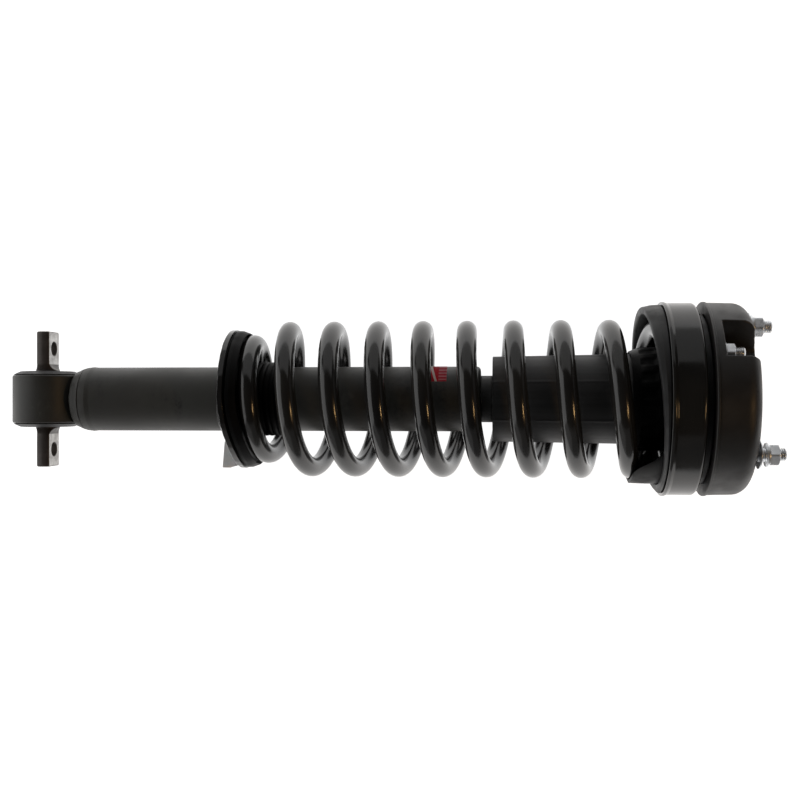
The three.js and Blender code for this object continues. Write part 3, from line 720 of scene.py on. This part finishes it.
def label():
    """A thin paper label wrapped part of the way round the tube, its edges down on the paint."""
    x0, x1 = LABEL
    low, high = LABEL_ARC
    rows, columns = 48, 10

    def paper(i, j, outer):
        angle = low + (high - low) * i / rows
        at_edge = min(i, rows - i, j, columns - j) == 0
        radius = TUBE_RADIUS + (0.16 if outer and not at_edge else 0.03)
        return x0 + (x1 - x0) * j / columns, radius * math.cos(angle), radius * math.sin(angle)
    dress(raw("tube_label", shell(rows, columns, paper, False), True), STICKER, "reservoir_tube")


# ------------------------------------------------------------------------------ lower seat

def ramped(x, y, z):
    """The lower seat climbs with the spring's first turn and drops back behind its end."""
    angle = math.degrees(math.atan2(z, y)) % 360
    climb = smoothstep(angle, 85, 160) * (1 - smoothstep(angle, 200, 250))
    reach = min(max((math.hypot(y, z) - 36) / 10, 0), 1)
    return x + SEAT_RAMP * climb * reach, y, z


def lower_seat():
    """The pressed pan, its edge left rough by the shear, and the hub it is welded to."""
    bore = HUB_RADIUS + GAP
    rng = random.Random(21)
    nicks = [rng.uniform(-0.3, 0.3) for _ in range(90)]

    def sheared(x, r, angle):
        if r < 53.5 or x > SEAT_TOP - 0.5:
            return x, r
        at = angle / (2 * math.pi) * len(nicks)
        low, share = int(at), at % 1
        ragged = nicks[low % len(nicks)] * (1 - share) + nicks[(low + 1) % len(nicks)] * share
        return x + ragged, r + 0.5 * ragged
    pan = lathe(
        (SEAT_TOP - 9.5, bore, 0.4), (SEAT_TOP - 6, 44, 6), (SEAT_TOP - 4.8, 53, 1),
        (SEAT_TOP - 3.8, SEAT_RADIUS, 0.6), (SEAT_TOP - 2, SEAT_RADIUS, 0), (SEAT_TOP, SEAT_RADIUS, 0.3),
        (SEAT_TOP, SEAT_RADIUS - 0.9, 0.3), (SEAT_TOP - 1.4, 52.5, 1), (SEAT_TOP - 2.9, 44, 6),
        (SEAT_TOP - 6.7, bore, 0.4), turns=360, shape=sheared)
    piece("lower_pan", moved(pan, ramped), LOOKS["powder_coat"], "lower_spring_seat")
    x0, x1 = stations("seat_hub")
    hub = ring(x0, x1, TUBE_RADIUS + 0.25, HUB_RADIUS, 0.3, 0.5, 120)
    piece("lower_hub", hub, LOOKS["powder_coat"], "seat_hub")
    welds = joined(bead(hoop(x0 + 0.3, TUBE_RADIUS + 1.0), 1.3, 3),
                   bead(hoop(SEAT_TOP - 9.3, HUB_RADIUS + 0.4), 1.2, 5))
    piece("seat_welds", welds, LOOKS["powder_coat"], "seat_hub", False, 60)


def gusset():
    """A small plate in the XY plane, under the edge of the pan."""
    low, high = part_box("seat_tab")
    outline = [(-408.5, -33.7), (SEAT_TOP - 6.5, -33.7), (SEAT_TOP - 0.5, -44), (SEAT_TOP + 2, -52.6),
               (SEAT_TOP - 1.8, -53.6), (SEAT_TOP - 6.8, -55), (-410.2, -55)]
    tab = prism(rounded([(x, y, 0.8) for x, y in outline]), low[2] / MM, high[2] / MM)
    made = raw("pan_gusset", moved(tab, lambda z, x, y: (x, y, z)))
    edge = made.modifiers.new("edge", "BEVEL")
    edge.width = 0.35 * MM
    edge.segments = 2
    bake(made)
    dress(made, GALVANISED, "seat_tab", ("seat_tab",))


def lower_rubber():
    """The pad under the spring, a rim outside it, and a ribbed sleeve up the hub."""
    bore, rim = HUB_RADIUS + 0.4, SEAT_RADIUS - 0.6
    ribs = []
    for k in range(7):
        x = -385 + 31 * k / 7
        ribs += [(x, SLEEVE_RADIUS - 0.35, 0.6), (x + 1.4, SLEEVE_RADIUS + 0.1, 0.8),
                 (x + 2.9, SLEEVE_RADIUS + 0.1, 0.8)]

    def wavy(x, r, angle):
        return x + 0.5 * math.sin(3 * angle + 0.6) * (x > -380), r
    pad = lathe(
        (SEAT_TOP - 6, bore, 0.3), (SEAT_TOP - 2.1, 44, 5), (SEAT_TOP - 0.9, 52.5, 1),
        (SEAT_TOP + 0.1, rim - 2.4, 0.3), (SEAT_TOP + 2, rim - 2, 0.3), (SEAT_TOP + 2.1, rim, 0.4),
        (-392.3, rim - 0.2, 1), (-387.5, 52.4, 0.4), (-387.5, 51.5, 0.3), (LOWER_REST, 51.5, 1.5),
        (LOWER_REST, 36, 1.5), (-390, 31, 2), *ribs, (-354, SLEEVE_RADIUS, 0.8), (-354, bore, 0.4),
        turns=180, steps=3, shape=wavy)
    # The whole lower pad takes the rubber darkened as painted shade.
    piece("lower_pad", moved(pad, ramped), SHADE_DARKENED_RUBBER, "lower_spring_isolator")


# ------------------------------------------------------------------------------ coil spring

def closing(angle):
    """Climb, in pitches, from the tip of the spring: slow over the closing turn, then steady."""
    share = min(max(angle / CLOSING_ANGLE, 0), 1)
    eased = share ** 3 - share ** 4 / 2
    return (CLOSING_ANGLE * (CLOSED_SHARE * share + (1 - CLOSED_SHARE) * eased)
            + max(angle - CLOSING_ANGLE, 0)) / 360


def spring_point(angle):
    """Where the wire's centre is at an angle, and the way out from the axis there."""
    first, last = SPRING_ANGLES
    turn = math.radians(angle)
    if angle < (first + last) / 2:
        x = LOWER_REST + GAP + WIRE_RADIUS + SPRING_PITCH * closing(angle - first)
    else:
        x = UPPER_REST - GAP - WIRE_RADIUS - SPRING_PITCH * closing(last - angle)
    free = smoothstep(angle, 0, 800) * (1 - smoothstep(angle, 2700, 3400))
    rise = min(max((angle - 900) / 900, -1), 1)
    x += free * (FRONT_LEAN * rise * math.cos(turn) - NEAR_LEAN * math.sin(turn))
    x -= BOW * math.sin(math.pi * min(max((angle - 600) / 2700, 0), 1))
    radius = END_COIL_RADIUS + (COIL_RADIUS - END_COIL_RADIUS) * smoothstep(angle, *OPENING_ANGLES)
    out = Vector((0, math.cos(turn), math.sin(turn)))
    return Vector((x, 0, 0)) + out * radius, out


def spring():
    first, last = SPRING_ANGLES
    steps = 740
    path = [spring_point(first + (last - first) * k / steps) for k in range(steps + 1)]
    ends = {0: 0.86, steps: 0.86, 1: 0.97, steps - 1: 0.97}
    made = raw("main_coil", swept(path, lambda i: circle(WIRE_RADIUS * ends.get(i, 1), 28)))
    dress(made, ENAMEL, "coil_spring", ("coil_spring",))
    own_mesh(made)


# ------------------------------------------------------------------------------ rod and dust tube

def thread(x0, x1, pitch):
    """Cuts a helical thread into a round bar between two stations."""
    def shape(x, r, angle):
        inside = smoothstep(x, x0, x0 + pitch) * (1 - smoothstep(x, x1 - pitch / 2, x1))
        phase = (x / pitch - angle / (2 * math.pi)) % 1
        cut = max(0.0, 1 - abs(phase - 0.5) * 2.6)
        return x, r - (0.42 * pitch * cut * inside if r > 3 else 0)
    return shape


def rod():
    foot, tip = stations("piston_rod")
    threads = [(-14 + 0.25 * k, SPIGOT) for k in range(49)]
    profile = rounded([(foot, 0, 0), (foot, 5.7, 0.6), (-266, 5.7, 0.2), (-266, ROD_RADIUS, 0.6),
                       (ROD_SHOULDER, ROD_RADIUS, 0.8), (ROD_SHOULDER, SPIGOT, 0.2),
                       (-14.2, SPIGOT, 0)], False)
    profile += threads + [(tip - 1, SPIGOT), (tip, SPIGOT - 1), (tip, 0)]
    shape = thread(-14, tip - 1.2, 1.5)
    piece("damper_rod", turned(profile, False, 72, shape), LOOKS["chrome_rod"], "piston_rod", sharp=55)


def dust_cover():
    """A tube that widens upwards, turned in at the top, with seven faint ridges along it."""
    wall, hole = 1.8, 26.2
    low_r, high_r = DUST_RADIUS - 0.15, DUST_TOP_RADIUS - 0.15
    body = rounded([(DUST_BOTTOM, low_r - wall, 0.3), (DUST_BOTTOM, low_r, 0.5), (-100, high_r, 6),
                    (DUST_TOP, high_r, 1.2), (DUST_TOP, hole, 0.3), (DUST_TOP - wall, hole, 0.3),
                    (DUST_TOP - wall, high_r - wall, 0.8), (-100, high_r - wall, 6)])

    def ridges(x, r, angle):
        ridge = 0.0
        for k in range(7):
            away = (angle - math.radians(67.5 + 360 * k / 7) + math.pi) % (2 * math.pi) - math.pi
            ridge += math.exp(-(away * r / 0.9) ** 2)
        return x, r + 0.34 * ridge * (r > DUST_RADIUS - 1)
    piece("dust_cover", turned(body, True, 420, ridges), LOOKS["plastic"], "dust_tube", sharp=50)


def bump_stop():
    plate = ROD_SHOULDER + GAP
    cup = lathe((plate + 2.5, SPIGOT_BORE, 0.3), (plate + 2.5, 25.5, 1.8), (-64, 25.5, 0.6),
                (-64, 23.5, 0.6), (plate, 23.5, 1), (plate, SPIGOT_BORE, 0.3), turns=96)
    piece("stop_cup", cup, LOOKS["powder_coat"], "bumper_cup")
    top, bore = ROD_SHOULDER - 0.15, ROD_RADIUS + 0.6
    stop = lathe((top, bore, 0.5), (top, 22, 1), (-62, 22, 2), (-65, 18, 2), (-68, 21, 2), (-74, 20, 2),
                 (-77, 16.5, 2), (-80, 18.5, 2), (-87, 17.5, 2), (-91, 14.5, 1), (-91, bore, 0.5), turns=96)
    made = piece("foam_stop", stop, LOOKS["foam"], "jounce_bumper")
    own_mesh(made)


# ------------------------------------------------------------------------------ upper seat

def upper_cup():
    plate, inner = CUP_TOP - CUP_PLATE, CUP_RADIUS - CUP_WALL
    cup = lathe((CUP_TOP, SPIGOT_BORE, 0.3), (CUP_TOP, CUP_RADIUS, 3.2),
                (CUP_LIP + 4.4, CUP_RADIUS - 0.1, 2), (CUP_LIP + 2, CUP_RADIUS + 0.9, 1.4),
                (CUP_LIP, CUP_RADIUS + 0.7, 0.7),
                (CUP_LIP, inner + 0.4, 0.7), (CUP_LIP + 3, inner, 1), (plate, inner, 2),
                (plate, SPIGOT_BORE, 0.3), turns=192, steps=5)
    piece("upper_cup", cup, LOOKS["powder_coat"], "upper_spring_seat")


def tilted(x, y, z):
    """The lip of the upper rubber does not sit square."""
    share = min(max((CUP_LIP - 1 - x) / 7, 0), 1) * smoothstep(math.hypot(y, z), 58, 63)
    return x + share * (LIP_TILT[0] * y + LIP_TILT[1] * z), y, z


def tail():
    """The tail of the upper rubber: a curved tongue past the last open turn of the spring."""
    rows, columns = 40, 10
    root = CUP_LIP + 0.5

    def tongue(i, j, outer):
        angle = math.pi + TAIL_HALF_SPREAD * (2 * i / rows - 1)
        depth = -TAIL_RADII[outer] * math.cos(angle)
        tip = root - 5 - 19 * smoothstep(depth, 41, 56) - 0.4 * math.sin(9 * angle)
        radius = TAIL_RADII[outer] + 0.5 * (j / columns) ** 3 * (-1 if outer else 1)
        x = root + (tip - root) * j / columns
        return x, radius * math.cos(angle), radius * math.sin(angle)
    return shell(rows, columns, tongue, True)


def upper_rubber():
    """The collar round the dust tube, the pad on the spring, and the lip that stands out of the cup."""
    top = CUP_TOP - CUP_PLATE - GAP
    collar = DUST_TOP_RADIUS + 0.6

    def castellated(x, r, angle):
        on_collar = smoothstep(x, -84, -81) * (1 - smoothstep(x, -73, -71)) * (r > 38) * (r < 42)
        tooth = 0.5 + 0.5 * math.tanh(4 * math.sin(18 * angle))
        return x, r - 1.1 * tooth * on_collar
    body = rounded([
        (top, collar, 0.4), (top, 71.1, 2.4), (CUP_LIP, 71.1, 0.6), (CUP_LIP - 0.6, 72.6, 0.6),
        (CUP_LIP - 4.5, 72.3, 1), (ISOLATOR_LIP, ISOLATOR_RADIUS + 1.6, 1.6), (ISOLATOR_LIP, 65.6, 1.4),
        (CUP_LIP - 2, 65, 1), (UPPER_REST - 3, 64.5, 2), (UPPER_REST, 62, 1.5), (UPPER_REST, 41.5, 1.5),
        (-50, 40.2, 1), (-70, 40.1, 0), (-71.5, 40.1, 0), (-73, 40.1, 0), (-75, 40.1, 0), (-79, 40, 0),
        (-81, 39.9, 0), (-82.5, 39.6, 0), (-84, 39.2, 0.6), (-90, 36.9, 0.8), (-90, collar, 0.5)], steps=3)
    pad = moved(turned(body, True, 216, castellated), tilted)
    made = piece("upper_pad", pad, [LOOKS["rubber"], SHADE_DARKENED_RUBBER], "upper_spring_isolator", sharp=45)
    # Painted shade: faces nearer the axis than 63 mm, inside the cup, take the darkened rubber, and so does
    # the tail.
    for face in made.data.polygons:
        middle = face.center / MM
        face.material_index = int(math.hypot(middle.y, middle.z) < 63)
    piece("upper_pad_tail", tail(), SHADE_DARKENED_RUBBER, "upper_spring_isolator", False, 45)


# ------------------------------------------------------------------------------ upper mount

def pocket(angle):
    """The shape that cuts one of the crown's two pockets, open towards the rim."""
    turn = math.radians(angle)
    half = math.radians(POCKET_HALF)
    inner, outer = 44, 92
    corners = rounded([
        (inner, -inner * math.tan(half), 4), (outer, -outer * math.tan(half), 0),
        (outer, outer * math.tan(half), 0), (inner, inner * math.tan(half), 4)], steps=6)
    outline = [(a * math.cos(turn) - b * math.sin(turn), a * math.sin(turn) + b * math.cos(turn))
               for a, b in corners]
    return prism(outline, POCKET_FLOOR, 12)


def housing():
    """The cast crown, remade evenly so that its edges and the pockets' corners are soft."""
    rim = FLANGE_RADIUS - 0.7
    middle = rim - 0.5 - CROWN_CORNER
    corner = []
    for k in range(13):
        turn = math.radians(90 - 7.5 * k)
        x = -CROWN_FALL - CROWN_CORNER * (1 - math.cos(turn))
        corner.append((x, middle + CROWN_CORNER * math.sin(turn), 0))
    made = raw("mount_casting", lathe(
        (PLATE_TOP - 1, MOUNT_BORE, 0), (PLATE_TOP - 1, rim, 0), *corner, (-0.55, 46, 0), (-0.1, 36, 0),
        (0, 30, 0), (0, 17, 1), (-11, 17, 1), (-11, MOUNT_BORE, 0), turns=192))
    cuts = [pocket(angle) for angle in POCKET_ANGLES]
    for angle in STUD_ANGLES:
        cuts.append(off_axis(lathe(
            (PLATE_TOP - 3, 0, 0), (PLATE_TOP - 3, 10, 0), (-8, 10, 0), (-8, STUD_BORE, 0),
            (SPOT_FACE, STUD_BORE, 0), (SPOT_FACE, SPOT_RADIUS, 0.8), (2, SPOT_RADIUS, 0), (2, 0, 0),
            closed=False, turns=64), angle))
    carve(made, cuts)
    soften(made, 0.75, 3)
    dress(made, LOOKS["cast_paint"], "mount_housing", ("mount_housing",), 70)
    plate = raw("mount_plate", lathe(
        (FLANGE_BOTTOM, MOUNT_BORE, 0.3), (FLANGE_BOTTOM, FLANGE_RADIUS, 0.9),
        (PLATE_TOP - 0.1, FLANGE_RADIUS, 0.5), (PLATE_TOP - 0.1, MOUNT_BORE, 0.3), turns=192))
    carve(plate, [off_axis(lathe((-45, 0, 0), (-45, 9.9, 0), (-20, 9.9, 0), (-20, 0, 0), closed=False,
                                 turns=48), angle) for angle in STUD_ANGLES])
    dress(plate, LOOKS["cast_paint"], "mount_housing", ("mount_housing",))


def mount_core():
    """The load ring, and the sleeve, bush, washer and nut that hold the rod in the mount."""
    foot = CUP_TOP + GAP
    load_ring = ring(foot, FLANGE_BOTTOM - GAP, 22, LOAD_RING_RADIUS, 0.5, 1.2, 144)
    piece("load_ring", load_ring, LOOKS["rubber"], "mount_load_ring")
    sleeve = ring(foot, -13, SPIGOT_BORE, 11, 0.3, 0.3)
    piece("inner_sleeve", sleeve, LOOKS["machined_steel"], "mount_inner_sleeve")
    rubber_core = lathe((FLANGE_BOTTOM, 11.3, 0.4), (FLANGE_BOTTOM, 20.7, 0.8), (-13.3, 20.7, 1),
                        (-13.3, 11.3, 0.4), turns=96)
    piece("core_bush", rubber_core, LOOKS["rubber"], "mount_bush")
    washer = ring(-12.7, -10.2, SPIGOT_BORE, 16, 0.2, 0.6)
    piece("core_washer", washer, LOOKS["zinc"], "mount_washer")
    piece("rod_top_nut", nut(-9.9, -2, 22, 7.2, 0), LOOKS["zinc"], "rod_nut", sharp=30)


def nut(x0, x1, across, bore, collar):
    """A hexagon nut with turned chamfers, and a round collar under it if it has one."""
    flat = across / 2
    count = 30
    outer = [(x0 + (x1 - x0) * k / count, flat + 1) for k in range(count + 1)]
    corners = outer + rounded([(x1, flat * 0.92, 0), (x1, bore + 0.7, 0.1), (x1 - 0.7, bore, 0.1),
                               (x0 + 0.7, bore, 0.1), (x0, bore + 0.7, 0.1)], steps=2)

    def shape(x, r, angle):
        if r < flat + 0.5:
            return x, r
        turn = (angle + math.pi / 6) % (math.pi / 3) - math.pi / 6
        side = soft_limit(flat / math.cos(turn), flat * 1.135, 0.5)
        side = soft_limit(side, flat * 0.98 + (x1 - x) * 1.7, 0.3)
        if collar:
            skirt = collar - 0.35 * (x < x0 + 0.35) - 2.2 * smoothstep(x, x0 + 2, x0 + 3.1)
            return x, skirt if x < x0 + 2.2 else max(side, skirt)
        return x, soft_limit(side, flat * 0.98 + (x - x0) * 1.7, 0.3)
    return turned(corners, True, 120, shape)


def stud(x0, head, x1, radius, pitch, thread_from):
    """A headed stud with a rolled thread and a chamfered tip."""
    start = rounded([(x0, 0, 0), (x0, head, 0.5), (x0 + 4, head, 0.5), (x0 + 4, radius, 0.3),
                     (thread_from - 0.4, radius, 0)], False) if head else [(x0, 0), (x0, radius)]
    count = int((x1 - 1 - thread_from) / 0.22)
    run = [(thread_from + (x1 - 1 - thread_from) * k / count, radius) for k in range(count + 1)]
    profile = start + run + [(x1 - 0.15, radius - 0.9), (x1, radius - 1.1), (x1, 0)]
    return turned(profile, False, 48, thread(thread_from, x1 - 0.9, pitch))


def fixings():
    """The three studs that bolt the mount to the tower, and the two clamp studs in its pockets."""
    for i, angle in enumerate(STUD_ANGLES, 1):
        x0, tip = stations(f"mount_stud_{i}")
        piece(f"tower_stud_{i}", off_axis(stud(x0, 9, tip, STUD_RADIUS, 1.5, -3), angle), LOOKS["zinc"],
              f"mount_stud_{i}", sharp=50)
        low, high = stations(f"stud_washer_{i}")
        lean = 0.05 if i == 2 else 0
        washer = moved(ring(low, high, STUD_BORE, 10.6, 0.2, 0.4, 80),
                       lambda x, y, z: (x + lean * y, y, z))
        piece(f"tower_washer_{i}", off_axis(washer, angle), LOOKS["zinc"], f"stud_washer_{i}")
        low, high = stations(f"stud_nut_{i}")
        turn = math.radians(NUT_TURNS[i - 1])
        c, s = math.cos(turn), math.sin(turn)
        body = moved(nut(low, high, 15, STUD_BORE, 9), lambda x, y, z: (x, c * y - s * z, s * y + c * z))
        piece(f"tower_nut_{i}", off_axis(body, angle), LOOKS["zinc"], f"stud_nut_{i}", sharp=30)
    for i, angle in enumerate(CLAMP_ANGLES, 1):
        x0, tip = stations(f"clamp_stud_{i}")
        piece(f"clamp_screw_{i}", off_axis(stud(x0, 0, tip, CLAMP_RADIUS, 1.25, x0 + 4), angle),
              LOOKS["zinc"], f"clamp_stud_{i}", sharp=50)
        low, high = stations(f"clamp_nut_{i}")
        piece(f"clamp_hex_{i}", off_axis(nut(low, high, 13, CLAMP_RADIUS + GAP, 8.4), angle),
              LOOKS["zinc"], f"clamp_nut_{i}", sharp=30)


# ------------------------------------------------------------------------------ studio

def on_table(x, y, z):
    """A point x and y along the frame's axes, and z out along the table's upward normal, in metres."""
    return Vector((x + z * math.sin(TABLE_TILT), y, z * math.cos(TABLE_TILT)))


def camera():
    made = bpy.data.objects.new("camera", bpy.data.cameras.new("camera"))
    SCENE.collection.objects.link(made)
    made.data.lens = 50
    made.data.sensor_width = 36
    made.rotation_euler = (0, TABLE_TILT, 0)
    made.location = on_table(*CAMERA_AT)
    SCENE.camera = made


def floor():
    """White ground that lies just under the lowest point of the CAD model."""
    up = on_table(0, 0, 1)
    lowest = min(up.dot(made.matrix_world @ vertex.co)
                 for made in frame["nodes"].values() for vertex in made.data.vertices)
    contact = up * (lowest - 1.5 * MM)
    along = Vector((math.cos(TABLE_TILT), 0, -math.sin(TABLE_TILT))) * FLOOR_HALF
    side = Vector((0, FLOOR_HALF, 0))
    mesh = bpy.data.meshes.new("floor")
    corners = [contact - along - side, contact + along - side, contact + along + side,
               contact - along + side]
    mesh.from_pydata(corners, [], [[0, 1, 2, 3]])
    made = bpy.data.objects.new("floor", mesh)
    SCENE.collection.objects.link(made)
    look = Look("floor_white")
    look.shader.inputs["Emission Color"].default_value = (1, 1, 1, 1)
    look.shader.inputs["Emission Strength"].default_value = 1.0
    white = look.mix(look.noise(3, 2), (0.8, 0.8, 0.8), (0.78, 0.78, 0.78))
    made.data.materials.append(look.done(white, 0.9))


def lamp(name, where, size, radiance, colour=(1, 1, 1)):
    """An area lamp aimed at the strut's middle. Its size doesn't change how bright its face is."""
    data = bpy.data.lights.new(name, "AREA")
    data.shape = "RECTANGLE"
    data.size, data.size_y = size
    data.energy = radiance * math.pi * size[0] * size[1]
    data.color = colour
    made = bpy.data.objects.new(name, data)
    SCENE.collection.objects.link(made)
    made.location = on_table(*where)
    aim = on_table(STRUT_MIDDLE, 0, 0) - made.location
    made.rotation_euler = aim.to_track_quat("-Z", "Y").to_euler()


def softbox(name, where, size, radiance):
    """Three lamps, one over another, so that the box fades towards its edges."""
    for i, grow in enumerate((0.5, 0.95, 1.5)):
        reach = (size[0] * (0.8 + 0.2 * grow), size[1] * grow)
        lamp(f"{name}_{i}", where, reach, radiance / 3)


def studio():
    camera()
    floor()
    softbox("box_back", (STRUT_MIDDLE, 1.7, 0.72), (3.2, 1.1), 1.25)
    softbox("box_front", (STRUT_MIDDLE, -1.7, 0.72), (3.2, 1.1), 0.38)
    softbox("box_near", (-1.3, -1.6, 0.6), (1.7, 1.0), 0.6)
    softbox("box_left", (-2.2, 0, 0.8), (2.4, 1.4), 2.8)
    softbox("box_right", (1.7, 0, 0.4), (2.0, 0.6), 0.25)
    lamp("warm_lamp", (0.72, -0.24, 0.9), (0.3, 0.045), 42, (1, 0.6, 0.25))
    world = bpy.data.worlds.new("studio")
    SCENE.world = world
    world.use_nodes = True
    tree = world.node_tree
    ground = tree.nodes["Background"]
    seen = tree.nodes.new("ShaderNodeBackground")
    seen.inputs["Color"].default_value = (1, 1, 1, 1)
    ground.inputs["Color"].default_value = (0.02, 0.02, 0.021, 1)
    choose = tree.nodes.new("ShaderNodeMixShader")
    rays = tree.nodes.new("ShaderNodeLightPath")
    tree.links.new(rays.outputs["Is Camera Ray"], choose.inputs["Fac"])
    tree.links.new(ground.outputs[0], choose.inputs[1])
    tree.links.new(seen.outputs[0], choose.inputs[2])
    tree.links.new(choose.outputs[0], tree.nodes["World Output"].inputs["Surface"])
    SCENE.view_settings.view_transform = "Standard"


for make in (studio, eye, bush, pin, reservoir, base, striker, label, lower_seat, gusset, lower_rubber,
             spring, rod, dust_cover, bump_stop, upper_cup, upper_rubber, housing, mount_core, fixings):
    make()

# The CAD solids that no piece replaces take the material of their own slot.
for node, made in frame["nodes"].items():
    made.data.materials.clear()
    made.data.materials.append(LOOKS[SLOT_OF[node]])
